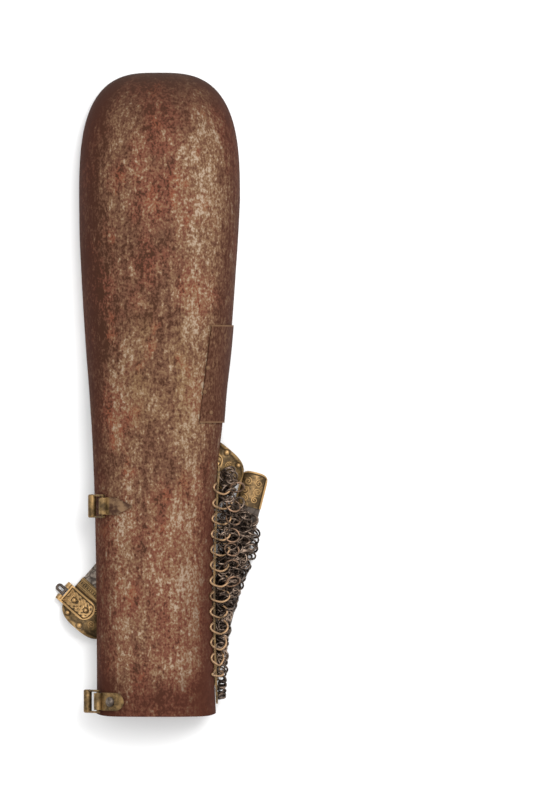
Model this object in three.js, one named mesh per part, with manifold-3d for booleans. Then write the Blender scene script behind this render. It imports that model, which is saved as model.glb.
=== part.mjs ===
// Iron vambrace with its wrist plate, side plate and mail, lying convex side up.
// Millimetres, +Z up, +Y towards the elbow. The layout starts at the middle of the wrist edge.
import * as THREE from "three";
import { mergeVertices } from "three/addons/utils/BufferGeometryUtils.js";
import Module from "manifold-3d";

const wasm = await Module();
wasm.setup();

// Forearm plate
const WALL = 1.8;
const CROWN_POWER = 2.3;
const DOME_LENGTH = 75;
const DOME_START = 301;
const DOME_PLAN_POWER = 3;
const DOME_CROWN_POWER = 2.4;
const RIM_LIFT = 13.6;
const RIM_FLAT_FROM = 226;
const RIM_LIFTED_TO = 164;
const WRIST_CORNER = 1.5;
const ARC_STEPS = 18;
const DOME_SHARES = [0.3, 0.5, 0.66, 0.78, 0.87, 0.935, 0.975, 0.995];
const PLATE_SECTIONS = [
  { along: 0, left: 35.9, right: 34.0, crown: 40.5 },
  { along: 15, left: 35.6, right: 33.3, crown: 40.3 },
  { along: 48, left: 35.7, right: 32.2, crown: 40.0 },
  { along: 79, left: 36.0, right: 32.0, crown: 40.0 },
  { along: 108, left: 36.5, right: 32.8, crown: 40.4 },
  { along: 132, left: 37.1, right: 34.0, crown: 41.0 },
  { along: 150, left: 37.8, right: 35.4, crown: 41.7 },
  { along: 167, left: 38.6, right: 37.5, crown: 42.6 },
  { along: 190, left: 40.2, right: 39.4, crown: 44.0 },
  { along: 213, left: 42.1, right: 42.0, crown: 45.3 },
  { along: 237, left: 43.7, right: 44.0, crown: 46.5 },
  { along: 260, left: 45.0, right: 45.6, crown: 47.3 },
  { along: 281, left: 45.9, right: 47.0, crown: 47.8 },
  { along: 301, left: 46.2, right: 48.0, crown: 48.0 },
];

// Repair patch, lapped over the right wall
const PATCH_GAP = 0.35;
const PATCH_THICK = 0.8;
const PATCH_LOW = 171;
const PATCH_HIGH = 228;
const PATCH_INNER_LOW = 24;
const PATCH_INNER_HIGH = 31;
const PATCH_RIVETS = [
  { along: 203, x: 28.6 },
  { along: 189, x: 26.9 },
  { along: 177, x: 30.4 },
];
const PATCH_RIVET_RADIUS = 1.3;

// Buckles on the left edge
const STRAP_GAP = 0.35;
const STRAP_THICK = 1.0;
const KNUCKLE_OUTER = 2.3;
const KNUCKLE_INNER = 1.1;
const FRAME_PIN = 0.75;
const FRAME_LENGTH = 10;
const FRAME_WIDTH = 13.6;
const FRAME_RAIL = 1.2;
const FRAME_RAIL_THICK = 2.0;
const FRAME_BAR = 2.4;
const UPPER = { along: 122.5, hinge: 30.0, tip: 14.5, knuckle: 9.6, width: 10.2, hang: 51.5 };
const LOWER = { along: 8.6, hinge: 32.5, tip: 19.6, knuckle: 9.8, width: 10.4, hang: 53.5 };
const TAB_RIVET_X = 26.6;
const TAB_RIVET_HEAD = 2.9;
const TAB_RIVET_SHANK = 1.2;
const TAB_RIVET_HOLE = 1.6;

// Edge strip and mail on the right edge
const RING_COUNT = 13;
const RING_PITCH = 9.05;
const RING_FIRST = 24.2;
const RING_RADIUS = 5.2;
const RING_WIRE = 0.65;
const RING_TILT = 135;
const RING_OUT = 2.0;
const RING_HEIGHT = 14.8;
const RING_HOLE = 2.2;
const STRIP_LOW = 7;
const STRIP_HIGH = 146;
const STRIP_GAP = 0.3;
const STRIP_THICK = 1.2;
const STRIP_TALL = 2.2;
const MAIL_THICK = 2.4;
const MAIL_START = 2.8;
const MAIL_START_Z = 14.4;
const MAIL_STEPS = 7;
const MAIL_ROWS = [
  { along: 10, reach: 5.6, sag: 0, end: 9.5 },
  { along: 18, reach: 7.0, sag: 0, end: 8.6 },
  { along: 27, reach: 7.6, sag: 0, end: 8.0 },
  { along: 38, reach: 8.4, sag: 0, end: 7.6 },
  { along: 50, reach: 10.4, sag: 0, end: 7.2 },
  { along: 61, reach: 12.4, sag: -1, end: 6.8 },
  { along: 74, reach: 17.0, sag: -2, end: 5.6 },
  { along: 87, reach: 21.6, sag: -3, end: 4.0 },
  { along: 102, reach: 26.7, sag: -3, end: 2.8 },
  { along: 113, reach: 26.5, sag: -2, end: 3.6 },
  { along: 120, reach: 22.0, sag: -1, end: 9.0 },
  { along: 126, reach: 13.5, sag: 0, end: 12.8 },
  { along: 135, reach: 12.5, sag: 0, end: 13.4 },
  { along: 144, reach: 11.0, sag: 0, end: 13.8 },
];

// Wrist plate, tucked under the forearm plate. U runs across it from the clasps, V along it.
const WRIST_X = -2.9;
const WRIST_Y = 103;
const WRIST_TURN = -40.8;
const WRIST_HALF = 16;
const WRIST_RISE = 7.6;
const WRIST_THICK = 1.4;
const WRIST_STEEL_END = 54;
const MOUNT_HALF = 16.4;
const MOUNT_FROM = 43.5;
const MOUNT_TIP = 69;
const MOUNT_ROUND = 3;
const MOUNT_DEPTH = 14;
const MOUNT_GAP = 0.3;
const MOUNT_THICK = 1.0;
const BAND_STARTS = [43.5, 47.4];
const BAND_WIDE = 2.6;
const BAND_PROUD = 0.5;
const STEP = 0.1;
const CLASP_V = 57.2;
const CLASP_WIDE = 12;
const CLASP_END = 2.6;
const CLASP_THICK = 1.3;
const CLASP_BORDER = 1.3;
const CLASP_BORDER_PROUD = 0.5;
const CLASP_RIVETS = [-11.5, -2.5];
const CLASP_RIVET_RADIUS = 1.7;
const CLASP_HINGE_U = -19.2;
const CLASP_HINGE_Z = 2.9;
const LOOP_LENGTH = 5.4;
const LOOP_WIDE = 4.7;
const LOOP_WIRE = 0.8;
const LOOP_PIN = 0.7;
const LOOP_PIN_LONG = 11.4;
const LOOP_DROP = 18;
const CLASP_KNUCKLE = 3.3;
const CLASP_ROLL = 1.9;

// Side plate under the mail
const SIDE_X = 41.6;
const SIDE_Y = 79.5;
const SIDE_TURN = -14.2;
const SIDE_HALF = 7.6;
const SIDE_RISE = 2.6;
const SIDE_THICK = 1.2;
const SIDE_STEEL_END = 58;
const SIDE_MOUNT_FROM = 44;
const SIDE_MOUNT_TIP = 64.5;
const SIDE_MOUNT_DEPTH = 5.5;
const SIDE_MOUNT_THICK = 0.9;

const RAD = Math.PI / 180;
const iron = new THREE.MeshStandardMaterial({ color: 0x6b4a3a, metalness: 0.7, roughness: 0.6 });
const steel = new THREE.MeshStandardMaterial({ color: 0x77736c, metalness: 0.9, roughness: 0.4 });
const brass = new THREE.MeshStandardMaterial({ color: 0x9a7434, metalness: 0.9, roughness: 0.45 });
const gilt = new THREE.MeshStandardMaterial({ color: 0xa8863f, metalness: 0.9, roughness: 0.4 });
const mailIron = new THREE.MeshStandardMaterial({ color: 0x4a3a2e, metalness: 0.8, roughness: 0.5 });

const assembly = new THREE.Group();

function lerp(a, b, t) {
  return a + (b - a) * t;
}

function smooth(t) {
  const k = Math.min(1, Math.max(0, t));
  return k * k * (3 - 2 * k);
}

function solidOf(geometry) {
  const plain = geometry.clone();
  plain.deleteAttribute("normal");
  plain.deleteAttribute("uv");
  const merged = mergeVertices(plain, 1e-4);
  const vertProperties = new Float32Array(merged.attributes.position.array);
  const triVerts = new Uint32Array(merged.index.array);
  return new wasm.Manifold(new wasm.Mesh({ numProp: 3, vertProperties, triVerts }));
}

function geometryOf(solid) {
  const made = solid.getMesh();
  const geometry = new THREE.BufferGeometry();
  const points = new Float32Array(made.numVert * 3);
  for (let i = 0; i < made.numVert; i++) {
    const from = i * made.numProp;
    points.set(made.vertProperties.subarray(from, from + 3), i * 3);
  }
  geometry.setAttribute("position", new THREE.BufferAttribute(points, 3));
  geometry.setIndex(new THREE.BufferAttribute(new Uint32Array(made.triVerts), 1));
  return geometry;
}

function place(parent, name, solid, material) {
  const mesh = new THREE.Mesh(geometryOf(solid), material.clone());
  mesh.name = name;
  parent.add(mesh);
}

function join(solids) {
  return solids.reduce((sum, next) => sum.add(next));
}

// A closed slab between an upper and a lower grid of points, facing out.
// at(i, j) gives [upper, lower]. i runs so that i cross j points up.
function slab(rows, columns, at) {
  const points = [];
  const faces = [];
  const index = (i, j, side) => (i * (columns + 1) + j) * 2 + side;
  for (let i = 0; i <= rows; i++) {
    for (let j = 0; j <= columns; j++) {
      const [upper, lower] = at(i, j);
      points.push(...upper, ...lower);
    }
  }
  const same = (a, b) => [0, 1, 2].every((k) => Math.abs(points[a * 3 + k] - points[b * 3 + k]) < 1e-4);
  const triangle = (a, b, c) => {
    if (!same(a, b) && !same(b, c) && !same(a, c)) faces.push(a, b, c);
  };
  const quad = (a, b, c, d) => {
    triangle(a, b, c);
    triangle(a, c, d);
  };
  for (let i = 0; i < rows; i++) {
    for (let j = 0; j < columns; j++) {
      quad(index(i, j, 0), index(i + 1, j, 0), index(i + 1, j + 1, 0), index(i, j + 1, 0));
      quad(index(i, j, 1), index(i, j + 1, 1), index(i + 1, j + 1, 1), index(i + 1, j, 1));
    }
    quad(index(i, 0, 0), index(i, 0, 1), index(i + 1, 0, 1), index(i + 1, 0, 0));
    quad(index(i, columns, 0), index(i + 1, columns, 0), index(i + 1, columns, 1), index(i, columns, 1));
  }
  for (let j = 0; j < columns; j++) {
    quad(index(0, j, 0), index(0, j + 1, 0), index(0, j + 1, 1), index(0, j, 1));
    quad(index(rows, j, 0), index(rows, j, 1), index(rows, j + 1, 1), index(rows, j + 1, 0));
  }
  const geometry = new THREE.BufferGeometry();
  geometry.setAttribute("position", new THREE.BufferAttribute(new Float32Array(points), 3));
  geometry.setIndex(faces);
  return solidOf(geometry);
}

function rod(radius, length, sides) {
  return new THREE.CylinderGeometry(radius, radius, length, sides);
}

// A rolled knuckle: a short tube along Y round the origin.
function knuckle(length, radius) {
  const outer = solidOf(rod(radius, length, 14));
  const inner = solidOf(rod(KNUCKLE_INNER, length + 2, 12));
  return outer.subtract(inner);
}

// Forearm plate: its section at a distance from the wrist edge.
function rimAt(along) {
  return RIM_LIFT * smooth((RIM_FLAT_FROM - along) / (RIM_FLAT_FROM - RIM_LIFTED_TO));
}

function sectionAt(along) {
  const last = PLATE_SECTIONS.length - 1;
  let k = 0;
  while (k < last - 1 && along > PLATE_SECTIONS[k + 1].along) k++;
  const a = PLATE_SECTIONS[k];
  const b = PLATE_SECTIONS[k + 1];
  const t = (along - a.along) / (b.along - a.along);
  return {
    left: lerp(a.left, b.left, t),
    right: lerp(a.right, b.right, t),
    crown: lerp(a.crown, b.crown, t),
    rim: rimAt(along),
  };
}

// A point of the section: turn 0 is the right rim, half a turn the left rim.
function sectionPoint(section, turn, lift) {
  const c = Math.cos(turn);
  const s = Math.sin(turn);
  const side = (c > 0 ? section.right : section.left) + lift;
  const x = Math.sign(c) * side * Math.abs(c) ** (2 / CROWN_POWER);
  const z = section.rim + (section.crown + lift - section.rim) * Math.abs(s) ** (2 / CROWN_POWER);
  return [x, z];
}

function surfaceZ(along, x, lift) {
  const section = sectionAt(along);
  const side = (x > 0 ? section.right : section.left) + lift;
  const share = 1 - (Math.abs(x) / side) ** CROWN_POWER;
  return section.rim + (section.crown + lift - section.rim) * Math.max(0, share) ** (1 / CROWN_POWER);
}

function surfaceNormal(along, x) {
  const step = 0.05;
  const slope = (surfaceZ(along, x + step, 0) - surfaceZ(along, x - step, 0)) / (2 * step);
  const long = Math.hypot(slope, 1);
  return [-slope / long, 1 / long];
}

function plateStation(k) {
  const straight = PLATE_SECTIONS.length;
  if (k < straight) {
    const along = PLATE_SECTIONS[k].along;
    return { outer: sectionAt(along), share: 0, along };
  }
  const share = k - straight < DOME_SHARES.length ? DOME_SHARES[k - straight] : 1;
  return { outer: sectionAt(DOME_START), share, along: DOME_START };
}

function platePoint(k, j, lift) {
  const { outer, share, along } = plateStation(k);
  const turn = (Math.PI * j) / ARC_STEPS;
  const plan = Math.max(0, 1 - share ** DOME_PLAN_POWER) ** (1 / DOME_PLAN_POWER);
  const rise = Math.max(0, 1 - share ** DOME_CROWN_POWER) ** (1 / DOME_CROWN_POWER);
  const [x, z] = sectionPoint(outer, turn, lift);
  const corner = k === 0 ? WRIST_CORNER * Math.abs(Math.cos(turn)) ** 10 : 0;
  const y = along + corner + (DOME_LENGTH + lift) * share;
  return [x * plan, y, outer.rim + (z - outer.rim) * rise];
}

function forearmPlate() {
  const rows = PLATE_SECTIONS.length + DOME_SHARES.length;
  return slab(ARC_STEPS, rows, (j, k) => [platePoint(k, ARC_STEPS - j, 0), platePoint(k, ARC_STEPS - j, -WALL)]);
}

function ringAlong(i) {
  return RING_FIRST + RING_PITCH * i;
}

function ringHole(i) {
  const rise = Math.sqrt(RING_RADIUS ** 2 - (RING_OUT + WALL / 2) ** 2);
  const along = ringAlong(i) + Math.cos(RING_TILT * RAD) * rise;
  const hole = rod(RING_HOLE, 8, 8);
  hole.rotateZ(Math.PI / 2);
  hole.translate(sectionAt(along).right - WALL / 2, along, RING_HEIGHT + Math.sin(RING_TILT * RAD) * rise);
  return solidOf(hole);
}

function rivetAxis(geometry, along, x, out) {
  const [nx, nz] = surfaceNormal(along, x);
  geometry.rotateX(Math.PI / 2);
  geometry.rotateY(Math.atan2(nx, nz));
  geometry.translate(x + nx * out, along, surfaceZ(along, x, 0) + nz * out);
  return solidOf(geometry);
}

// Low dome with a flat foot at the origin, rising along +Y.
function dome(radius, height, foot) {
  const profile = [new THREE.Vector2(0, -foot), new THREE.Vector2(radius, -foot), new THREE.Vector2(radius, 0)];
  for (let k = 1; k < 4; k++) {
    const turn = (Math.PI / 2) * (k / 4);
    profile.push(new THREE.Vector2(radius * Math.cos(turn), height * Math.sin(turn)));
  }
  profile.push(new THREE.Vector2(0, height));
  return new THREE.LatheGeometry(profile, 12);
}

function addForearm() {
  let plate = forearmPlate();
  for (let i = 0; i < RING_COUNT; i++) plate = plate.subtract(ringHole(i));
  const hole = rivetAxis(rod(TAB_RIVET_HOLE, 12, 10), LOWER.along, -TAB_RIVET_X, 0);
  place(assembly, "forearm_plate", plate.subtract(hole), iron);
}

function addPatch() {
  const rows = [PATCH_LOW, 180, 190, 201, 213, 220, PATCH_HIGH];
  const steps = 9;
  const sheet = slab(steps, rows.length - 1, (i, j) => {
    const along = rows[j];
    const section = sectionAt(along);
    const inner = lerp(PATCH_INNER_LOW, PATCH_INNER_HIGH, (along - PATCH_LOW) / (PATCH_HIGH - PATCH_LOW));
    const top = Math.acos((inner / section.right) ** (CROWN_POWER / 2));
    const foot = 0.06;
    const turn = lerp(top, foot, i / steps);
    const points = [PATCH_GAP + PATCH_THICK, PATCH_GAP].map((lift) => {
      const [x, z] = sectionPoint(section, turn, lift);
      return [x, along, z];
    });
    return points;
  });
  const heads = PATCH_RIVETS.map(({ along, x }) => {
    const head = dome(PATCH_RIVET_RADIUS, 0.8, 0.5);
    head.rotateX(Math.PI / 2);
    const [nx, nz] = surfaceNormal(along, x);
    head.rotateY(Math.atan2(nx, nz));
    const out = PATCH_GAP + PATCH_THICK;
    head.translate(x + nx * out, along, surfaceZ(along, x, 0) + nz * out);
    return solidOf(head);
  });
  place(assembly, "repair_patch", join([sheet, ...heads]), iron);
}

// Where a buckle's hinge runs, clear of the plate.
function hingeAt(fit) {
  const [nx, nz] = surfaceNormal(fit.along, -fit.hinge);
  const out = KNUCKLE_OUTER + STRAP_GAP + 0.1;
  return [-fit.hinge + nx * out, surfaceZ(fit.along, -fit.hinge, 0) + nz * out];
}

// A thin strap on the plate from its hinge to its inner end. end(w) shapes the plan, w from -1 to 1.
function strap(fit, end) {
  const across = 8;
  const steps = 8;
  const sheet = slab(steps, across, (i, j) => {
    const w = (2 * j) / across - 1;
    const y = fit.along + (w * fit.width) / 2;
    const x = -lerp(fit.hinge + 0.3, end(w), i / steps);
    const upper = [x, y, surfaceZ(fit.along, x, STRAP_GAP + STRAP_THICK)];
    const lower = [x, y, surfaceZ(fit.along, x, STRAP_GAP)];
    return [upper, lower];
  });
  const [hx, hz] = hingeAt(fit);
  const bore = rod(KNUCKLE_INNER, fit.width + 4, 12);
  bore.translate(hx, fit.along, hz);
  return sheet.add(knuckle(fit.knuckle, KNUCKLE_OUTER).translate([hx, fit.along, hz])).subtract(solidOf(bore));
}

// A buckle frame: pin along Y at the origin, rails and outer bar along -X, turned down by its hang.
function buckleFrame(fit) {
  const pin = solidOf(rod(FRAME_PIN, FRAME_WIDTH - 1, 10));
  const bar = rod(FRAME_BAR, FRAME_WIDTH, 12);
  bar.translate(-FRAME_LENGTH, 0, 0);
  const rails = [-1, 1].map((side) => {
    const rail = new THREE.BoxGeometry(FRAME_LENGTH + 1.6, FRAME_RAIL, FRAME_RAIL_THICK);
    rail.translate(-FRAME_LENGTH / 2 + 0.5, (side * (FRAME_WIDTH - FRAME_RAIL)) / 2, 0);
    return solidOf(rail);
  });
  const [hx, hz] = hingeAt(fit);
  const frame = join([pin, solidOf(bar), ...rails]);
  return frame.rotate([0, -fit.hang, 0]).translate([hx, fit.along, hz]);
}

function addBuckles() {
  const leaf = (w) => lerp(UPPER.hinge - 5, UPPER.tip, (1 - Math.abs(w)) ** 0.8);
  place(assembly, "upper_strap_leaf", strap(UPPER, leaf), iron);
  place(assembly, "upper_buckle_frame", buckleFrame(UPPER), brass);
  const round = (w) => LOWER.tip + (LOWER.width / 2) * (1 - Math.sqrt(1 - 0.98 * w * w));
  const hole = rivetAxis(rod(TAB_RIVET_HOLE, 12, 10), LOWER.along, -TAB_RIVET_X, 0);
  place(assembly, "lower_strap_tab", strap(LOWER, round).subtract(hole), brass);
  place(assembly, "lower_buckle_frame", buckleFrame(LOWER), brass);
  const seat = STRAP_GAP + STRAP_THICK + 0.35;
  const head = rivetAxis(dome(TAB_RIVET_HEAD, 1.9, 0), LOWER.along, -TAB_RIVET_X, seat);
  const shank = rivetAxis(rod(TAB_RIVET_SHANK, 4.8, 10), LOWER.along, -TAB_RIVET_X, -0.1);
  place(assembly, "lower_tab_rivet", head.add(shank), steel);
}

function addEdgeStrip() {
  const rows = [STRIP_LOW, 15, 30, 48, 63, 79, 93, 108, 120, 132, 141, STRIP_HIGH];
  const strip = slab(rows.length - 1, 1, (j, i) => {
    const along = rows[rows.length - 1 - j];
    const section = sectionAt(along);
    const z = section.rim + 0.2 + STRIP_TALL * i;
    const x = section.right + STRIP_GAP;
    return [
      [x, along, z],
      [x + STRIP_THICK, along, z],
    ];
  });
  place(assembly, "edge_strip", strip, brass);
}

function edgeRing(i) {
  const along = ringAlong(i);
  const ring = new THREE.TorusGeometry(RING_RADIUS, RING_WIRE, 5, 12);
  ring.rotateX(RING_TILT * RAD);
  ring.translate(sectionAt(along).right + RING_OUT, along, RING_HEIGHT);
  return solidOf(ring);
}

function mailField() {
  return slab(MAIL_STEPS, MAIL_ROWS.length - 1, (i, j) => {
    const row = MAIL_ROWS[j];
    const t = i / MAIL_STEPS;
    const edge = sectionAt(row.along).right;
    const x = edge + lerp(MAIL_START, row.reach, t);
    const y = row.along + row.sag * t;
    const wave = 0.5 * Math.sin(row.along * 0.45 + t * 5);
    const z = lerp(MAIL_START_Z, row.end, t ** 1.2) + wave * Math.sin(Math.PI * t);
    return [
      [x + 0.6 * t, y, z + MAIL_THICK / 2],
      [x - 0.6, y, z - MAIL_THICK / 2],
    ];
  });
}

function addMail() {
  const rings = [];
  for (let i = 0; i < RING_COUNT; i++) rings.push(edgeRing(i));
  place(assembly, "mail", join([mailField(), ...rings]), mailIron);
}

// A rise across a curved plate, flat feet at both edges.
function archZ(u, half, rise) {
  return rise * Math.max(0, 1 - (u / half) ** 2);
}

// An arched sheet over rows along V. Each row has its own place, a function of u, and thickness.
function archedSheet(half, rows, base, uSteps) {
  return slab(uSteps, rows.length - 1, (i, j) => {
    const u = lerp(-half, half, i / uSteps);
    const v = rows[j].at(u);
    return [
      [u, v, base(u) + rows[j].thick],
      [u, v, base(u)],
    ];
  });
}

function straightRows(end, thick) {
  return [-end, end].map((v) => ({ at: () => v, thick }));
}

// The rows of an end mount: raised bands, then a thin sheet out to its lobe.
function mountRows(bands, from, thick, lobe) {
  const rows = bands.length ? [] : [{ at: () => from, thick }];
  for (const start of bands) {
    if (rows.length) rows.push({ at: () => start - STEP, thick });
    rows.push({ at: () => start, thick: thick + BAND_PROUD });
    rows.push({ at: () => start + BAND_WIDE, thick: thick + BAND_PROUD });
    rows.push({ at: () => start + BAND_WIDE + STEP, thick });
  }
  rows.push({ at: lobe, thick });
  return rows;
}

function addWristPlate() {
  const group = new THREE.Group();
  group.position.set(WRIST_X, WRIST_Y, 0);
  group.rotation.z = WRIST_TURN * RAD;
  assembly.add(group);
  const steelZ = (u) => archZ(u, WRIST_HALF, WRIST_RISE);
  const steelRows = straightRows(WRIST_STEEL_END, WRIST_THICK);
  place(group, "wrist_plate", archedSheet(WRIST_HALF, steelRows, steelZ, 12), steel);
  const mountZ = (u) => steelZ(u) + WRIST_THICK + MOUNT_GAP;
  const lobe = (u) => {
    const round = Math.max(0, 1 - (Math.abs(u) / MOUNT_HALF) ** MOUNT_ROUND) ** (1 / MOUNT_ROUND);
    return MOUNT_TIP - MOUNT_DEPTH * (1 - round);
  };
  const claspZ = (u) => mountZ(u) + MOUNT_THICK + MOUNT_GAP;
  for (const [name, turn] of [["high", 0], ["low", 180]]) {
    const flip = turn ? -1 : 1;
    const sheet = archedSheet(MOUNT_HALF, mountRows(BAND_STARTS, MOUNT_FROM, MOUNT_THICK, lobe), mountZ, 14);
    place(group, `wrist_mount_${name}`, sheet.rotate([0, 0, turn]), brass);
    place(group, `clasp_${name}`, clasp(claspZ).translate([0, flip * CLASP_V, 0]), gilt);
    place(group, `clasp_loop_${name}`, claspLoop().translate([CLASP_HINGE_U, flip * CLASP_V, CLASP_HINGE_Z]), brass);
  }
}

function clasp(baseZ) {
  const steps = 8;
  const half = CLASP_WIDE / 2;
  const inside = half - CLASP_BORDER;
  const columns = [-half, -inside, STEP - inside, -inside / 2, 0, inside / 2, inside - STEP, inside, half];
  const body = slab(steps, columns.length - 1, (i, j) => {
    const v = columns[j];
    const end = CLASP_END - half * (1 - Math.sqrt(Math.max(0, 1 - 0.97 * (v / half) ** 2)));
    const u = lerp(CLASP_HINGE_U + 0.6, end, i / steps);
    const z = baseZ(Math.max(u, -MOUNT_HALF));
    const proud = Math.abs(v) >= inside ? CLASP_BORDER_PROUD : 0;
    return [
      [u, v, z + CLASP_THICK + proud],
      [u, v, z],
    ];
  });
  const heads = CLASP_RIVETS.map((u) => {
    const head = dome(CLASP_RIVET_RADIUS, 1.0, 0.6);
    head.rotateX(Math.PI / 2);
    head.translate(u, 0, baseZ(u) + CLASP_THICK + 0.1);
    return solidOf(head);
  });
  const bore = rod(KNUCKLE_INNER, CLASP_WIDE + 4, 12);
  bore.translate(CLASP_HINGE_U, 0, CLASP_HINGE_Z);
  const rolls = [-1, 1].map((side) => {
    const v = side * (half - CLASP_KNUCKLE / 2);
    return knuckle(CLASP_KNUCKLE, CLASP_ROLL).translate([CLASP_HINGE_U, v, CLASP_HINGE_Z]);
  });
  return join([body, ...heads, ...rolls]).subtract(solidOf(bore));
}

// A wire loop: pin along Y at the origin, reaching out along -X and down to the surface.
function claspLoop() {
  const pin = solidOf(rod(LOOP_PIN, LOOP_PIN_LONG, 10));
  const bar = rod(LOOP_WIRE, LOOP_WIDE, 10);
  bar.translate(-LOOP_LENGTH, 0, 0);
  const rails = [-1, 1].map((side) => {
    const rail = rod(LOOP_WIRE, LOOP_LENGTH + 0.6, 8);
    rail.rotateZ(Math.PI / 2);
    rail.translate(-LOOP_LENGTH / 2, (side * (LOOP_WIDE - 2 * LOOP_WIRE)) / 2, 0);
    return solidOf(rail);
  });
  return join([pin, solidOf(bar), ...rails]).rotate([0, -LOOP_DROP, 0]);
}

function addSidePlate() {
  const group = new THREE.Group();
  group.position.set(SIDE_X, SIDE_Y, 0);
  group.rotation.z = SIDE_TURN * RAD;
  assembly.add(group);
  const steelZ = (u) => archZ(u, SIDE_HALF, SIDE_RISE);
  const steelRows = straightRows(SIDE_STEEL_END, SIDE_THICK);
  place(group, "side_plate", archedSheet(SIDE_HALF, steelRows, steelZ, 8), steel);
  const mountZ = (u) => steelZ(u) + SIDE_THICK + MOUNT_GAP;
  const half = SIDE_HALF + 0.3;
  const lobe = (u) => {
    const round = Math.max(0, 1 - (Math.abs(u) / half) ** MOUNT_ROUND) ** (1 / MOUNT_ROUND);
    return SIDE_MOUNT_TIP - SIDE_MOUNT_DEPTH * (1 - round);
  };
  for (const [name, turn] of [["high", 0], ["low", 180]]) {
    const sheet = archedSheet(half, mountRows([], SIDE_MOUNT_FROM, SIDE_MOUNT_THICK, lobe), mountZ, 12);
    place(group, `side_mount_${name}`, sheet.rotate([0, 0, turn]), gilt);
  }
}

addForearm();
addPatch();
addBuckles();
addEdgeStrip();
addMail();
addWristPlate();
addSidePlate();

// The part's origin is the middle of its footprint.
const bounds = new THREE.Box3().setFromObject(assembly, true);
const middle = bounds.getCenter(new THREE.Vector3());
assembly.position.set(-middle.x, -middle.y, -bounds.min.z);

const group = new THREE.Group();
group.add(assembly);
export default group;
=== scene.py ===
"""Dresses an iron vambrace: rusted plate, buckles, mail, wrist plate and side plate."""

import math
import random
from types import SimpleNamespace

import bmesh
import bpy
from mathutils import Matrix, Vector, noise


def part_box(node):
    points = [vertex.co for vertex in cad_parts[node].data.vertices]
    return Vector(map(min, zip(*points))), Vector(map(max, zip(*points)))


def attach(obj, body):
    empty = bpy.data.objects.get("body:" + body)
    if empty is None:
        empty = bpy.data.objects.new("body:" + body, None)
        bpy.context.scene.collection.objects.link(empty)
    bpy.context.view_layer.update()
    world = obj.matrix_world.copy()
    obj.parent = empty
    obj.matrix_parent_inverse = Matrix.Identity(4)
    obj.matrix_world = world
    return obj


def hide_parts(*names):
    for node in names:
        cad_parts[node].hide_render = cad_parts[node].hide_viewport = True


bl_info = {
    "name": "Iron Vambrace",
    "version": (1, 0, 0),
    "blender": (4, 5, 0),
    "location": "3D View > Sidebar > Vambrace",
    "description": "Models and finishes an iron vambrace with its mail and brass fittings",
    "category": "Object",
}

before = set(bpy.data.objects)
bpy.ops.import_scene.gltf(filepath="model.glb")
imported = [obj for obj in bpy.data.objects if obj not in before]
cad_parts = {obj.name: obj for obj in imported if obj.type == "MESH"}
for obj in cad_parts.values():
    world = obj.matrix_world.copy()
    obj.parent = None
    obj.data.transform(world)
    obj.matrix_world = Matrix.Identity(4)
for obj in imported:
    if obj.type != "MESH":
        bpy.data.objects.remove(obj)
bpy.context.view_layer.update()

MM = 0.001
BODY = "vambrace"
PLATE_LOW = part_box("forearm_plate")[0]

# Forearm plate, in millimetres from the middle of its wrist edge: along, left, right, crown
PLATE_SECTIONS = (
    (0, 35.9, 34.0, 40.5),
    (15, 35.6, 33.3, 40.3),
    (48, 35.7, 32.2, 40.0),
    (79, 36.0, 32.0, 40.0),
    (108, 36.5, 32.8, 40.4),
    (132, 37.1, 34.0, 41.0),
    (150, 37.8, 35.4, 41.7),
    (167, 38.6, 37.5, 42.6),
    (190, 40.2, 39.4, 44.0),
    (213, 42.1, 42.0, 45.3),
    (237, 43.7, 44.0, 46.5),
    (260, 45.0, 45.6, 47.3),
    (281, 45.9, 47.0, 47.8),
    (301, 46.2, 48.0, 48.0),
)
LAYOUT = Vector((PLATE_LOW.x / MM + PLATE_SECTIONS[-1][1], PLATE_LOW.y / MM, 0))
TO_ROW = Matrix.Scale(MM, 4) @ Matrix.Translation(LAYOUT)
ALONG_X = Matrix.Rotation(math.pi / 2, 4, "Y")
ALONG_Y = Matrix.Rotation(math.pi / 2, 4, "X")
BOTH_SIDES = (-1, 1)
ENDS = (("high", 0.0), ("low", math.pi))
WALL = 1.8
CROWN_POWER = 2.3
DOME_START, DOME_LENGTH = 301, 75
DOME_PLAN_POWER, DOME_CROWN_POWER = 3, 2.4
DOME_SHARE = 0.22
RIM_LIFT, RIM_LIFTED_TO, RIM_FLAT_FROM = 13.6, 164, 226
WRIST_CORNER, CORNER_LONG, CORNER_POWER = 1.5, 15, 10
LONG_WAVE, SHORT_WAVE = 0.045, 0.11
PLATE_SHARP = 50

# Repair patch on the right wall
PATCH_GAP, PATCH_THICK = 0.35, 0.8
PATCH_LOW, PATCH_HIGH = 171, 228
PATCH_INNER_LOW, PATCH_INNER_HIGH = 24, 31
PATCH_FOOT, PATCH_GRID = 0.06, (20, 32)
PATCH_RIVETS = ((203, 28.6), (189, 26.9), (177, 30.4))
PATCH_RIVET, PATCH_RIVET_TALL = 1.3, 0.8

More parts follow.
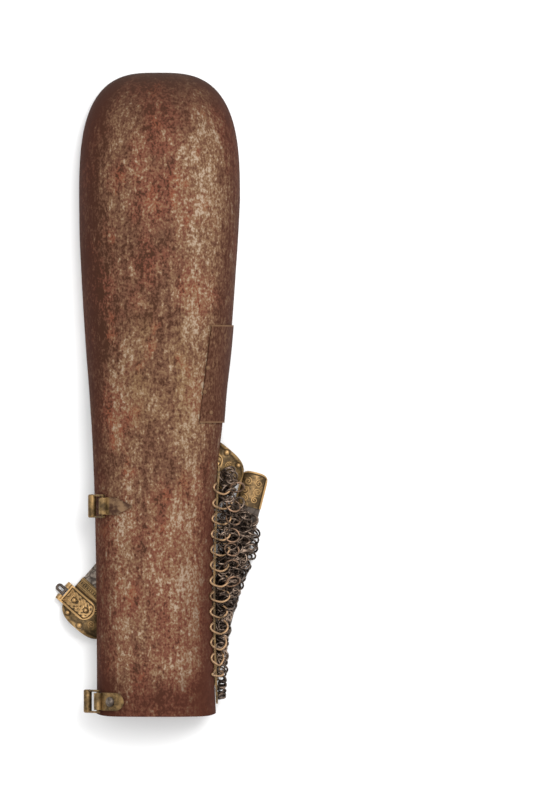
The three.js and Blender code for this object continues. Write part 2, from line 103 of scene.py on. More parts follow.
# Buckles on the left edge
STRAP_GAP, STRAP_THICK, STRAP_TUCK, STRAP_GRID = 0.35, 1.0, 0.3, (24, 20)
KNUCKLE, CLASP_ROLL, KNUCKLE_BORE, HINGE_CLEAR = 2.3, 1.9, 1.1, 0.1
ROLL_FROM, ROLL_TO, ROLL_GRID = -0.25, 5.85, (40, 2)
FRAME_LENGTH, FRAME_WIDTH, FRAME_BAR, FRAME_RAIL = 10, 13.6, 2.4, 1.2
FRAME_PIN, BAR_SOFT, RAIL_TALL, RAIL_SPARE, RAIL_SOFT = 0.75, 0.9, 2.0, 1.6, 0.35
UPPER = {"along": 122.5, "hinge": 30.0, "tip": 14.5, "knuckle": 9.6, "width": 10.2, "hang": 51.5}
LOWER = {"along": 8.6, "hinge": 32.5, "tip": 19.6, "knuckle": 9.8, "width": 10.4, "hang": 53.5}
LEAF_SHOULDER, LEAF_POWER, TAB_ROUND = 5, 0.8, 0.98
TAB_RIVET_X, TAB_HEAD, TAB_HEAD_TALL, TAB_HEAD_SEAT = 26.6, 2.9, 1.9, 1.75
TAB_SHANK, TAB_SHANK_LONG, TAB_BORE, TAB_PEG = 1.2, 4.8, 1.6, 12

# Edge rings: the part of a ring in its hole, and its bends outside: out, share of its reach, along, height
RING_COUNT, RING_PITCH, RING_FIRST = 13, 9.05, 24.2
HOLE_AHEAD, HOLE_TURN, HOLE_PEG = 3.0, 0.12, 7
RING_TALL, RING_OUT, END_RING_TALL = (1.3, 1.0), (5.6, 9.3), 0.35
RING_IN_HOLE = ((-1.6, 0.2, -0.2), (0, 0, 0), (1.7, -0.1, 0.6))
RING_BENDS = (
    (-0.5, 0, 2.1, 22.7),
    (-1.3, 0, 0.6, 24.7),
    (-0.7, 0, -1.0, 23.5),
    (1.6, 0, -2.4, 19.6),
    (0, 0.57, -3.2, 16.6),
    (0, 0.91, -1.6, 15.2),
    (0, 1, 0.8, 13.9),
    (0, 0.81, 3.4, 12.4),
    (0, 0.34, 4.3, 11.4),
    (-0.6, 0, 4.1, 11.9),
    (-2.9, 0, 3.6, 14.4),
)

# Mail: along, reach, sag, height at the free edge
MAIL_FROM, MAIL_TO, MAIL_START, MAIL_START_Z, MAIL_DROOP = 11.0, 144, 2.8, 14.4, 1.2
MAIL_LAYERS = ((0, MAIL_TO), (1, MAIL_TO), (0.5, 66))
FIRST_JOINER, JOINER_OUT, JOINER_Z = 6, 11.4, 14.2
LINK_POINTS, LINK_LOWEST = 14, 0.9
MAIL_ROWS = (
    (10, 5.6, 0, 9.5),
    (18, 7.0, 0, 8.6),
    (27, 7.6, 0, 8.0),
    (38, 8.4, 0, 7.6),
    (50, 10.4, 0, 7.2),
    (61, 12.4, -1, 6.8),
    (74, 17.0, -2, 5.6),
    (87, 21.6, -3, 4.0),
    (102, 26.7, -3, 2.8),
    (113, 26.5, -2, 3.6),
    (120, 22.0, -1, 9.0),
    (126, 13.5, 0, 12.8),
    (135, 12.5, 0, 13.4),
    (144, 11.0, 0, 13.8),
)

# Wrist plate: u runs across it from the clasps, v along it
WRIST = {"x": -2.9, "y": 103, "turn": -40.8, "half": 16, "rise": 7.6, "thick": 1.4, "steel": 54}
WRIST_MOUNT = {"half": 16.4, "from": 43.5, "tip": 69, "depth": 14, "thick": 1.0}
BAND_STARTS, BAND_WIDE, BAND_PROUD = (43.5, 47.4), 2.6, 0.5
MOUNT_GAP, MOUNT_ROUND, MOUNT_GRID = 0.3, 3, (110, 90)
LOBE_RIVETS, LOBE_RIVET_TALL = ((9.6, 65.2, 1.3), (-0.4, 66.4, 1.65)), 1.1
LOBE_SCROLLS = ((10.6, 57.0, 2.6), (5.4, 61.4, 1.9), (2.6, 54.2, 1.7))
CLASP_V, CLASP_WIDE, CLASP_END, CLASP_THICK = 57.2, 12, 2.6, 1.3
CLASP_BORDER, CLASP_PROUD, CLASP_ROUND, CLASP_GRID = 1.0, 0.5, 0.97, (100, 64)
CLASP_RIVETS, CLASP_RIVET, CLASP_RIVET_TALL = (-11.5, -2.5), 1.3, 1.2
CLASP_SCROLLS, CLASP_SCROLL_V = ((-15.0, 1.3, 0.0), (-7.2, 1.5, math.pi)), 2.3
CLASP_HINGE_U, CLASP_HINGE_Z, CLASP_KNUCKLE = -19.2, 2.9, 3.3
LOOP_LENGTH, LOOP_WIDE, LOOP_WIRE, LOOP_DROP = 5.4, 4.7, 0.8, 18
LOOP_PIN, LOOP_PIN_LONG, LOOP_CORNER, LOOP_BEND_STEPS = 0.7, 11.4, 1.4, 6

# Side plate under the mail
SIDE = {"x": 41.6, "y": 79.5, "turn": -14.2, "half": 7.6, "rise": 2.6, "thick": 1.2, "steel": 58}
SIDE_MOUNT = {"half": 7.9, "from": 44, "tip": 64.5, "depth": 5.5, "thick": 0.9}
SIDE_SCROLLS = ((3.2, 58.4, 2.0, 1), (3.6, 53.2, 2.2, -1), (3.0, 48.4, 1.8, 1))
SIDE_RIM, SIDE_GRID = 0.9, (64, 72)

# Stage: each light's name, place, size and share of the key light's power
LAMPS = (("key light", (0.75, 0.8, 1.7), 1.1, 1.0), ("top light", (-0.2, -0.1, 2.1), 1.6, 0.5))
SENSOR, FLOOR_HALF, PICTURE_LEVEL = 36, 4, 0.005


def lerp(a, b, t):
    """The value a share t of the way from a to b."""
    return a + (b - a) * t


def ease(t):
    """A smooth step from 0 to 1."""
    k = min(1.0, max(0.0, t))
    return k * k * (3 - 2 * k)


def table_at(rows, key):
    """One row of a table of sizes, smoothed between its entries."""
    last = len(rows) - 1
    k = max(0, min(last - 1, sum(key >= row[0] for row in rows) - 1))
    a, b = rows[k], rows[k + 1]
    before, after = rows[max(0, k - 1)], rows[min(last, k + 2)]
    span = b[0] - a[0]
    t = min(1.0, max(0.0, (key - a[0]) / span))
    found = []
    for i in range(1, len(a)):
        leave = (b[i] - before[i]) / (b[0] - before[0]) * span
        arrive = (after[i] - a[i]) / (after[0] - a[0]) * span
        bend = (t**3 - 2 * t * t + t) * leave + (t**3 - t * t) * arrive
        found.append(lerp(a[i], b[i], ease(t)) + bend)
    return found


def section_at(along):
    """The plate's left and right half width, crown height and rim height."""
    left, right, crown = table_at(PLATE_SECTIONS, along)
    rim = RIM_LIFT * ease((RIM_FLAT_FROM - along) / (RIM_FLAT_FROM - RIM_LIFTED_TO))
    return left, right, crown, rim


def section_point(section, turn, lift):
    """A point of the section: turn 0 is the right rim, half a turn the left rim."""
    left, right, crown, rim = section
    c, s = math.cos(turn), math.sin(turn)
    side = (right if c > 0 else left) + lift
    x = math.copysign(side * abs(c) ** (2 / CROWN_POWER), c)
    z = rim + (crown + lift - rim) * abs(s) ** (2 / CROWN_POWER)
    return x, z


def surface_z(along, x, lift=0.0):
    """The height of the plate's outside, or of a sheet lifted off it."""
    left, right, crown, rim = section_at(along)
    side = (right if x > 0 else left) + lift
    share = max(0.0, 1 - (abs(x) / side) ** CROWN_POWER)
    return rim + (crown + lift - rim) * share ** (1 / CROWN_POWER)


def surface_normal(along, x):
    """The outward direction of the plate in its section."""
    step = 0.05
    slope = (surface_z(along, x + step) - surface_z(along, x - step)) / (2 * step)
    return Vector((-slope, 0, 1)).normalized()


def on_plate(along, x, lift=0.0):
    """The place of a rivet, peg or hinge on the plate, with its own Z outwards."""
    out = surface_normal(along, x)
    seat = Vector((x, along, surface_z(along, x))) + out * lift
    return Matrix.Translation(seat) @ out.to_track_quat("Z", "Y").to_matrix().to_4x4()


def plate_point(u, v, lift):
    """A point of the forearm plate, u from the right rim to the left one and v from the wrist."""
    turn = math.pi * u
    straight = 1 - DOME_SHARE
    along = DOME_START * min(1.0, v / straight)
    section = section_at(along)
    x, z = section_point(section, turn, lift)
    share = math.sin(math.pi / 2 * max(0.0, v - straight) / DOME_SHARE)
    plan = max(0.0, 1 - share**DOME_PLAN_POWER) ** (1 / DOME_PLAN_POWER)
    rise = max(0.0, 1 - share**DOME_CROWN_POWER) ** (1 / DOME_CROWN_POWER)
    corner = WRIST_CORNER * abs(math.cos(turn)) ** CORNER_POWER * max(0.0, 1 - along / CORNER_LONG)
    y = along + corner + (DOME_LENGTH + lift) * share
    return Vector((x * plan, y, section[3] + (z - section[3]) * rise))


def arch_z(plate, u):
    """The height of the underside of a curved plate."""
    return plate["rise"] * max(0.0, 1 - (u / plate["half"]) ** 2)


def lobe_end(mount, u):
    """How far a rounded end mount reaches along its plate."""
    round_off = max(0.0, 1 - (abs(u) / mount["half"]) ** MOUNT_ROUND) ** (1 / MOUNT_ROUND)
    return mount["tip"] - mount["depth"] * (1 - round_off)


def mail_point(along, t):
    """A point of the mail, t from the plate's edge to its free edge."""
    reach, sag, end = table_at(MAIL_ROWS, along)
    right = section_at(along)[1]
    x = right + lerp(MAIL_START, reach, t)
    return Vector((x, along + sag * t, lerp(MAIL_START_Z, end, t**MAIL_DROOP)))


def hinge_of(fit):
    """The place of a buckle's hinge, clear of the plate."""
    return on_plate(fit["along"], -fit["hinge"], KNUCKLE + STRAP_GAP + HINGE_CLEAR).to_translation()


def plate_matrix(plate):
    """Turns a plate's own u, v and height into the layout."""
    turn = Matrix.Rotation(math.radians(plate["turn"]), 4, "Z")
    return Matrix.Translation((plate["x"], plate["y"], 0)) @ turn


def closed_curve(points, steps):
    """A smooth closed path through a few points."""
    path = []
    count = len(points)
    for k in range(count):
        a, b, c, d = (Vector(points[(k + i - 1) % count]) for i in range(4))
        for i in range(steps):
            t = i / steps
            bend, twist = 2 * a - 5 * b + 4 * c - d, 3 * b - a - 3 * c + d
            path.append(0.5 * (2 * b + (c - a) * t + bend * t * t + twist * t**3))
    return path


def new_mesh():
    """An empty bmesh with a map that follows each sheet and a value for its relief."""
    bm = bmesh.new()
    bm.loops.layers.uv.new("sheet")
    bm.verts.layers.float.new("relief")
    return bm


def add_sheet(bm, across, along, point, under, over):
    """A formed sheet of metal: two shaped grids joined round their edge, toned where point says so."""
    relief = bm.verts.layers.float["relief"]
    rims = []
    old = set(bm.faces)
    for lift in (over, under):
        made = bmesh.ops.create_grid(bm, x_segments=across, y_segments=along, size=0.5, calc_uvs=True)
        for v in made["verts"]:
            place = point(v.co.x + 0.5, v.co.y + 0.5, lift)
            v.co, v[relief] = place if isinstance(place, tuple) else (place, 0.0)
        bmesh.ops.remove_doubles(bm, verts=made["verts"], dist=1e-4)
        rims += [e for e in bm.edges if e.is_boundary and e not in rims]
    bmesh.ops.bridge_loops(bm, edges=rims)
    bmesh.ops.recalc_face_normals(bm, faces=[f for f in bm.faces if f not in old])


def soften(bm, edges, soft):
    """Rounds edges off."""
    bmesh.ops.bevel(bm, geom=edges, offset=soft, segments=3, profile=0.5, affect="EDGES", material=-1)


def add_rod(bm, radius, length, matrix, sides, soft):
    """A short round rod along its own Z, with softened ends."""
    sizes = {"radius1": radius, "radius2": radius, "depth": length}
    made = bmesh.ops.create_cone(bm, cap_ends=True, segments=sides, **sizes)
    faces = dict.fromkeys(f for v in made["verts"] for f in v.link_faces)
    ends = [e for f in faces if len(f.verts) > 4 for e in f.edges]
    bmesh.ops.transform(bm, matrix=matrix, verts=made["verts"])
    soften(bm, ends, soft)


def add_roll(bm, outer, length, matrix):
    """A knuckle rolled round a pin along its own Z."""

    def rolled(u, v, radius):
        a = lerp(ROLL_FROM, ROLL_TO, u)
        return matrix @ Vector((radius * math.cos(a), radius * math.sin(a), length * (v - 0.5)))

    add_sheet(bm, *ROLL_GRID, rolled, KNUCKLE_BORE, outer)


def add_block(bm, size, matrix, soft):
    """A small bar with rounded edges."""
    made = bmesh.ops.create_cube(bm, size=1)
    edges = dict.fromkeys(e for v in made["verts"] for e in v.link_edges)
    bmesh.ops.transform(bm, matrix=matrix @ Matrix.Diagonal((*size, 1)), verts=made["verts"])
    soften(bm, list(edges), soft)


def add_dome(bm, radius, height, matrix, finish=0, tone=0.0):
    """A rivet head, its lower half sunk in the sheet."""
    relief = bm.verts.layers.float["relief"]
    made = bmesh.ops.create_uvsphere(bm, u_segments=20, v_segments=12, radius=1)
    for v in made["verts"]:
        v[relief] = tone
        for f in v.link_faces:
            f.material_index = finish
    shape = Matrix.Diagonal((radius, radius, height, 1))
    bmesh.ops.transform(bm, matrix=matrix @ shape, verts=made["verts"])


def add_wires(bm, paths, radius, closed=True, sides=1, finish=0, tone=0.0):
    """Bent wires along paths, fused into the mesh."""
    curve = bpy.data.curves.new("wires", "CURVE")
    curve.dimensions = "3D"
    curve.bevel_depth = radius
    curve.bevel_resolution = sides
    curve.use_fill_caps = not closed
    for path in paths:
        spline = curve.splines.new("POLY")
        spline.points.add(len(path) - 1)
        spline.use_cyclic_u = closed
        spline.use_smooth = True
        for point, p in zip(spline.points, path):
            point.co = (*p, 1)
    holder = bpy.data.objects.new("wires", curve)
    mesh = bpy.data.meshes.new_from_object(holder)
    old = set(bm.faces)
    bm.from_mesh(mesh)
    fresh = [f for f in bm.faces if f not in old]
    relief = bm.verts.layers.float["relief"]
    for f in fresh:
        f.material_index = finish
        for v in f.verts:
            v[relief] = tone
    bmesh.ops.recalc_face_normals(bm, faces=fresh)
    bpy.data.objects.remove(holder)
    bpy.data.curves.remove(curve)
    bpy.data.meshes.remove(mesh)


def in_scene(name, data):
    """A new object in the scene."""
    made = bpy.data.objects.new(name, data)
    bpy.context.scene.collection.objects.link(made)
    return made


def placed(bm, name, local=Matrix.Identity(4)):
    """Turns a finished mesh into an object in the row frame."""
    bmesh.ops.transform(bm, matrix=TO_ROW @ local, verts=bm.verts)
    mesh = bpy.data.meshes.new(name)
    bm.to_mesh(mesh)
    bm.free()
    return in_scene(name, mesh)


def smooth(mesh, sharp):
    """Smooth shading that keeps the edges past an angle in degrees."""
    mesh.polygons.foreach_set("use_smooth", [True] * len(mesh.polygons))
    mesh.set_sharp_from_angle(angle=math.radians(sharp))


def settle(bm, name, finishes, node, body=BODY, local=Matrix.Identity(4), sharp=40):
    """Puts a finished mesh on its body as one piece, in the place of its plain node."""
    piece = placed(bm, name, local)
    smooth(piece.data, sharp)
    for finish in finishes:
        piece.data.materials.append(finish)
    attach(piece, body)
    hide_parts(node)
    return piece


def add_arched_plate(bm, plate, columns):
    """A long curved steel plate."""

    def bent(u, v, lift):
        across = lerp(-plate["half"], plate["half"], u)
        return Vector((across, lerp(-plate["steel"], plate["steel"], v), arch_z(plate, across) + lift))

    add_sheet(bm, columns, 40, bent, 0, plate["thick"])


def scroll(u, v, radius, turns, start, hand, steps=26):
    """The plan of one spiral scroll."""
    path = []
    for k in range(steps):
        t = k / (steps - 1)
        a = start + hand * turns * 2 * math.pi * t
        reach = radius * (1 - t) ** 0.8 + radius * 0.12
        path.append((u + reach * math.cos(a), v + reach * math.sin(a)))
    return path


def add_scrolls(bm, plans, height, wire, finish, tone):
    """Raised scrolls that follow the height of the sheet under them."""
    paths = [[Vector((a, b, height(a))) for a, b in plan] for plan in plans]
    add_wires(bm, paths, wire, closed=False, finish=finish, tone=tone)


class Value:
    """A shader socket that takes part in Python expressions."""

    def __init__(self, tree, socket):
        self.tree = tree
        self.socket = socket

    def joined(self, operation, *items):
        """One Math node on sockets and numbers."""
        node = self.tree.nodes.new("ShaderNodeMath")
        node.operation = operation
        for slot, item in zip(node.inputs, items):
            if isinstance(item, Value):
                self.tree.links.new(item.socket, slot)
            else:
                slot.default_value = item
        return Value(self.tree, node.outputs[0])

    def __add__(self, other):
        return self.joined("ADD", self, other)

    __radd__ = __add__

    def __sub__(self, other):
        return self.joined("SUBTRACT", self, other)

    def __rsub__(self, other):
        return self.joined("SUBTRACT", other, self)

    def __mul__(self, other):
        return self.joined("MULTIPLY", self, other)

    __rmul__ = __mul__

    def __abs__(self):
        return self.joined("ABSOLUTE", self)


class Finish:
    """A material whose nodes are added one by one."""

    def __init__(self, name):
        self.material = bpy.data.materials.new(name)
        self.material.use_nodes = True
        self.tree = self.material.node_tree
        self.tree.nodes.clear()
        place = self.tree.nodes.new("ShaderNodeTexCoord")
        self.object_place = Value(self.tree, place.outputs["Object"])
        self.sheet_place = Value(self.tree, place.outputs["UV"])

    def node(self, kind, settings=None, sockets=None, out=0):
        """Any node, with its settings first and then its socket values or links."""
        made = self.tree.nodes.new(kind)
        for key, value in (settings or {}).items():
            setattr(made, key, value)
        for key, value in (sockets or {}).items():
            if isinstance(value, Value):
                self.tree.links.new(value.socket, made.inputs[key])
            else:
                made.inputs[key].default_value = value
        return Value(self.tree, made.outputs[out])

    def axis(self, place, name):
        """One axis of a place on the piece."""
        return self.node("ShaderNodeSeparateXYZ", sockets={"Vector": place}, out=name)

    def noise(self, scale, detail=3, rough=0.6, stretch=(1, 1, 1)):
        """Cloudy noise on the piece, stretched along an axis."""
        place = self.node("ShaderNodeMapping", sockets={"Vector": self.object_place, "Scale": stretch})
        sizes = {"Vector": place, "Scale": scale, "Detail": detail, "Roughness": rough}
        return self.node("ShaderNodeTexNoise", sockets=sizes)

    def step(self, value, low, high):
        """A smooth mask that rises between two values."""
        limits = {"Value": value, "From Min": low, "From Max": high}
        return self.node("ShaderNodeMapRange", {"interpolation_type": "SMOOTHSTEP"}, limits)

    def mix(self, factor, a, b):
        """One colour over another."""
        a, b = ((*c, 1) if isinstance(c, tuple) else c for c in (a, b))
        return self.node("ShaderNodeMix", {"data_type": "RGBA"}, {0: factor, 6: a, 7: b}, out=2)

    def done(self, colour, roughness, metallic, height=None, depth=0.3, gloss=0.5):
        """The surface itself, with a fine bump where a height is given."""
        sockets = {"Base Color": colour, "Roughness": roughness, "Metallic": metallic}
        sockets["Specular IOR Level"] = gloss
        if height is not None:
            bump = {"Height": height, "Strength": depth, "Distance": 0.0006}
            sockets["Normal"] = self.node("ShaderNodeBump", sockets=bump)
        surface = self.node("ShaderNodeBsdfPrincipled", sockets=sockets)
        end = self.tree.nodes.new("ShaderNodeOutputMaterial")
        self.tree.links.new(surface.socket, end.inputs["Surface"])
        return self.material


def palette():
    """The finishes' colours as plain tuples."""
    colours = bpy.context.scene.vambrace_colours
    return SimpleNamespace(**{name: tuple(getattr(colours, name)) for name in Colours.__annotations__})


def rusted_plate():
    """Brown rust worn to pale iron in fine flecks and streaks, darkest at the edges and the elbow: painted
    shade darkens the plate's steep sides and the tip of the elbow, and the wrist edge is darker too.
    """
    c = palette()
    f = Finish("rusted plate")
    across = 1 - f.axis(f.sheet_place, "X")
    along = f.axis(f.sheet_place, "Y")
    lean = f.step(along, 0.42, 0.66)
    edge = abs((across - lean * 0.015) * 2 - 1)
    broad = f.noise(22, 2, 0.5, (1, 0.5, 1))
    cluster = f.noise(110, 3, 0.55, (1, 0.55, 1))
    fleck = f.noise(400, 3, 0.65, (1, 0.7, 1))
    speck = f.noise(880, 2, 0.6, (1, 0.75, 1))
    streak = f.noise(1, 3, 0.6, (330, 14, 330))
    fine = speck * 0.85 + fleck * 0.9 + streak * 0.4
    sides = f.step(edge, 0.06, 0.24) - f.step(edge, 0.38, 0.6) * 2
    plain = f.step(along * -1, -0.075, -0.02) + f.step(along, 0.8, 0.94)
    worn = fine + cluster * 0.55 + broad * 0.45 - 1.575 + sides * 0.07 - plain * 0.1
    worn = worn + lean * (f.step(across, 0.46, 0.6) * 0.11 - 0.125)
    wash = f.step(f.noise(26, 3, 0.55, (1, 0.4, 1)), 0.42, 0.62) * (1 - f.step(edge, 0.16, 0.5))
    wash = wash * (1 - f.step(along, 0.6, 0.74)) * f.step(along, 0.18, 0.36) * f.step(fine, 0.8, 1.25)
    red = f.step(f.noise(34, 4, 0.6, (1, 0.6, 1)) - f.step(along, 0.16, 0.4) * 0.07, 0.36, 0.54)
    rust = f.mix(red, c.rust_brown, c.rust_red)
    rust = f.mix(f.step(f.noise(70, 4, 0.65, (1, 0.6, 1)), 0.56, 0.68) * 0.8, rust, c.rust_orange)
    colour = f.mix(f.step(worn, -0.26, -0.05), c.rust_dark, rust)
    colour = f.mix(f.step(worn, -0.06, 0.16) * 0.8, colour, c.worn_tan)
    colour = f.mix(wash * 0.6, colour, c.worn_olive)
    flecks = f.step(worn, 0.1, 0.34)
    colour = f.mix(flecks * (0.85 - wash * 0.4), colour, c.worn_grey)
    # Painted shade: this mask darkens the plate's steep sides and the tip of the elbow, and also darkens
    # the wrist edge and the lower part of the right side, by the mail.
    ends = f.step(along, 0.8, 0.97) * 0.7 + f.step(along * -1, -0.085, -0.02) * 0.75
    corner = f.step(across, 0.52, 0.68) * (1 - f.step(along, 0.12, 0.45))
    wall_shade = f.step(edge + (1 - f.step(along, 0.1, 0.4)) * 0.07, 0.42, 0.74) * 0.85
    dark = (wall_shade + ends + corner * 0.4) * (1 - f.step(worn, -0.32, 0.04) * 0.35)
    dark = f.node("ShaderNodeClamp", sockets={"Value": dark, "Min": 0.0, "Max": 0.88})
    colour = f.mix(dark, colour, c.rust_and_painted_shade)
    # Painted shade on the tip of the elbow, where the dome curves down.
    colour = f.mix(f.step(along, 0.84, 1.0) * 0.7, colour, c.painted_elbow_shade)
    return f.done(colour, 0.66 - flecks * 0.1, flecks * 0.15, cluster * 0.3 + fine * 0.35, 0.35, 0.02)


def rusted_patch():
    """The same rust on the repair, a little darker and with fewer flecks; painted shade deepens down the
    patch towards its foot, and a light line along its top and bottom edges is partly worn edge and partly
    painted highlight.
    """
    c = palette()
    f = Finish("rusted patch")
    across = f.axis(f.sheet_place, "X")
    along = f.axis(f.sheet_place, "Y")
    mottle = f.noise(140, 4, 0.65, (1, 0.5, 1))
    speck = f.noise(700, 3, 0.65, (1, 0.6, 1))
    rust = f.mix(f.step(speck, 0.36, 0.6), c.rust_dark, c.rust_brown)
    colour = f.mix(f.step(mottle * 0.8 + speck * 0.9, 0.88, 1.12) * 0.6, rust, c.worn_tan)
    bare = f.step(mottle * 0.6 + speck * 0.7, 0.5, 0.9)
    # Painted shade, deeper towards the patch's foot on the steep side, over a darker rust tone all over.
    shade = (f.step(across, 0.1, 0.75) * 0.55 + 0.25) * (1 - bare * 0.4)
    colour = f.mix(shade, colour, c.rust_and_painted_shade)
    # A light line along the patch's top and bottom edges, in worn tan: partly worn edge, partly painted
    # highlight.
    rims = f.step(abs(along * 2 - 1), 0.955, 0.985)
    colour = f.mix(rims * 0.55, colour, c.worn_tan)
    return f.done(colour, 0.64, 0.05, mottle * 0.6 + speck * 0.4, 0.35, 0.02)


def old_metal(name, light, dark, metallic=0.75, rough=0.42, scale=160, low=0.36, high=0.66):
    """Worn metal with a darker film in blotches."""
    f = Finish(name)
    film = f.noise(scale, 4, 0.65)
    grain = f.noise(900, 2, 0.6)
    relief = f.node("ShaderNodeAttribute", {"attribute_name": "relief"}, out="Fac")
    colour = f.mix(f.step(film * 0.75 + grain * 0.25 + relief * 0.3, low, high), dark, light)
    return f.done(colour, rough + film * 0.15, metallic, grain * 0.5 + film * 0.5, 0.2)


def etched_steel(name, light):
    """Steel with a worn pattern of dark veins."""
    c = palette()
    f = Finish(name)
    cells = {"Vector": f.object_place, "Scale": 260.0}
    veins = f.node("ShaderNodeTexVoronoi", {"feature": "DISTANCE_TO_EDGE"}, cells, out="Distance")
    film = f.noise(180, 4, 0.65)
    lines = 1 - f.step(veins, 0.03, 0.16)
    colour = f.mix(f.step(film, 0.4, 0.62), c.steel_dark, light)
    colour = f.mix(lines * 0.85, colour, c.steel_dark)
    return f.done(colour, 0.42 + film * 0.15, 0.7, veins * -1.0, 0.3)


def leaf_metal():
    """The upper strap: brass at its knuckle, iron towards its point."""
    c = palette()
    f = Finish("strap leaf")
    low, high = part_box("upper_strap_leaf")
    side = f.axis(f.object_place, "X")
    film = f.noise(170, 4, 0.65)
    iron = f.mix(f.step(film, 0.38, 0.66), c.rust_dark, c.worn_tan)
    brass = f.mix(f.step(film, 0.36, 0.66), c.brass_dark, c.brass)
    seam = f.step(side, lerp(low.x, high.x, 0.27), lerp(low.x, high.x, 0.34))
    colour = f.mix(seam, brass, iron)
    return f.done(colour, 0.55, 0.35, film, 0.25, 0.2)


def number(label, words, default, low, high, **kind):
    """A number that a user may change."""
    limits = {"default": default, "min": low, "max": high}
    return bpy.props.FloatProperty(name=label, description=words, **limits, **kind)


def paint(label, default):
    """A colour that a user may change."""
    words = {"name": label.capitalize(), "description": "Colour of the " + label}
    return bpy.props.FloatVectorProperty(**words, subtype="COLOR", default=default, min=0, max=1)


class PlateSizes(bpy.types.PropertyGroup):
    """Sizes of the forearm plate's finish."""

    unevenness: number("Unevenness", "Depth of the hammered waves, in millimetres", 0.16, 0, 0.3)
    hole: number("Hole radius", "Radius of the edge rings' holes, in millimetres", 1.15, 0.8, 1.6)
    grid_across: bpy.props.IntProperty(
        name="Grid across", description="Faces from rim to rim", default=72, min=24, max=120
    )
    grid_along: bpy.props.IntProperty(
        name="Grid along", description="Faces from wrist to elbow", default=150, min=60, max=240
    )


class MailSizes(bpy.types.PropertyGroup):
    """Sizes of the mail and the edge rings."""

    edge_wire: number("Edge ring wire", "Wire radius of the edge rings, in millimetres", 0.62, 0.4, 0.9)
    ring: number("Ring radius", "Radius of a mail ring, in millimetres", 4.0, 2.5, 5)
    wire: number("Wire radius", "Wire radius of a mail ring, in millimetres", 0.6, 0.4, 0.9)
    pitch: number("Pitch", "Distance between neighbouring rings, in millimetres", 4.5, 3.5, 8)
    disorder: number("Disorder", "How far the rings lie out of line", 0.5, 0, 1, subtype="FACTOR")


class Colours(bpy.types.PropertyGroup):
    """Colours of the finishes."""

    rust_brown: paint("brown rust", (0.105, 0.049, 0.030))
    rust_red: paint("red rust", (0.130, 0.046, 0.029))
    rust_orange: paint("orange rust", (0.175, 0.054, 0.029))
    rust_dark: paint("dark pits", (0.050, 0.021, 0.012))
    # Dark rust, and painted shade on the plate's steep sides, at the elbow and down the patch.
    rust_and_painted_shade: paint("dark edges", (0.050, 0.016, 0.010))
    # Painted shade on the tip of the elbow.
    painted_elbow_shade: paint("elbow tip", (0.040, 0.023, 0.016))
    worn_tan: paint("worn tan iron", (0.195, 0.116, 0.062))
    worn_olive: paint("olive brown wash", (0.190, 0.118, 0.054))
    worn_grey: paint("worn grey iron", (0.335, 0.257, 0.190))
    steel: paint("grey steel", (0.320, 0.262, 0.215))
    steel_dark: paint("dark steel", (0.060, 0.045, 0.036))
    # Dark grey of the loop wire, and painted shade on the side plate under the mail.
    dark_steel_and_shade: paint("shaded steel", (0.110, 0.085, 0.068))
    brass: paint("old brass", (0.275, 0.170, 0.068))
    brass_dark: paint("dark brass", (0.060, 0.036, 0.014))
    gilt: paint("gilding", (0.385, 0.236, 0.098))
    copper: paint("edge rings", (0.400, 0.245, 0.130))
    joiner: paint("joiner rings", (0.280, 0.165, 0.100))
    mail: paint("mail", (0.290, 0.208, 0.155))
    mail_dark: paint("dark mail", (0.030, 0.020, 0.015))


class StageSizes(bpy.types.PropertyGroup):
    """Camera, light and floor."""

    camera_height: number(
        "Camera height", "Height of the camera over the floor", 6.0, 0.8, 9, subtype="DISTANCE"
    )
    frame_height: number(
        "Frame height", "What the picture's height covers", 0.468, 0.2, 1, subtype="DISTANCE"
    )
    centre: bpy.props.FloatVectorProperty(
        name="Centre",
        description="Middle of the picture, in millimetres from the wrist edge",
        size=2,
        default=(63.5, 184.3),
        subtype="XYZ",
    )
    key_power: number("Key light", "Power of the main light", 31, 0, 200, unit="POWER")
    fill: number("Fill light", "Strength of the even light", 0.82, 0, 3)
    floor: paint("floor", (0.9, 0.9, 0.9))


class VAMBRACE_OT_forearm_plate(bpy.types.Operator):
    """Form the rusted forearm plate with its holes"""

    bl_idname = "vambrace.forearm_plate"
    bl_label = "Forearm Plate"

    def execute(self, context):
        sizes = context.scene.vambrace_plate

        def hammered(u, v, lift):
            p = plate_point(u, v, lift)
            inside = min(1.0, 8 * u * (1 - u)) * min(1.0, 12 * v)
            wave = noise.noise(p * LONG_WAVE) + 0.5 * noise.noise(p * SHORT_WAVE)
            return plate_point(u, v, lift + sizes.unevenness * inside * wave)

        bm = new_mesh()
        add_sheet(bm, sizes.grid_across, sizes.grid_along, hammered, -WALL, 0)
        plate = settle(
            bm, "forearm_plate_rusted", [rusted_plate()], "forearm_plate", sharp=PLATE_SHARP
        )
        pegs = self.pegs(sizes.hole)
        cut = plate.modifiers.new("ring holes", "BOOLEAN")
        cut.operation = "DIFFERENCE"
        cut.solver = "EXACT"
        cut.object = pegs
        plate.data = bpy.data.meshes.new_from_object(plate.evaluated_get(context.evaluated_depsgraph_get()))
        plate.modifiers.clear()
        smooth(plate.data, PLATE_SHARP)
        bpy.data.objects.remove(pegs)
        return {"FINISHED"}

    def pegs(self, radius):
        """The pegs that cut the holes for the edge rings and the tab's rivet."""
        bm = new_mesh()
        for k in range(RING_COUNT):
            add_rod(bm, radius, HOLE_PEG, Matrix.Translation(edge_hole(k)) @ ALONG_X, 14, 0.05)
        add_rod(bm, TAB_BORE, TAB_PEG, on_plate(LOWER["along"], -TAB_RIVET_X), 16, 0.05)
        return placed(bm, "pegs")


def ring_along(k):
    """Where an edge ring hangs along the plate."""
    return RING_FIRST + RING_PITCH * k


def edge_hole(k):
    """The middle of an edge ring's hole in the wall."""
    along = ring_along(k) + HOLE_AHEAD
    x, z = section_point(section_at(along), HOLE_TURN, -WALL / 2)
    return Vector((x, along, z))


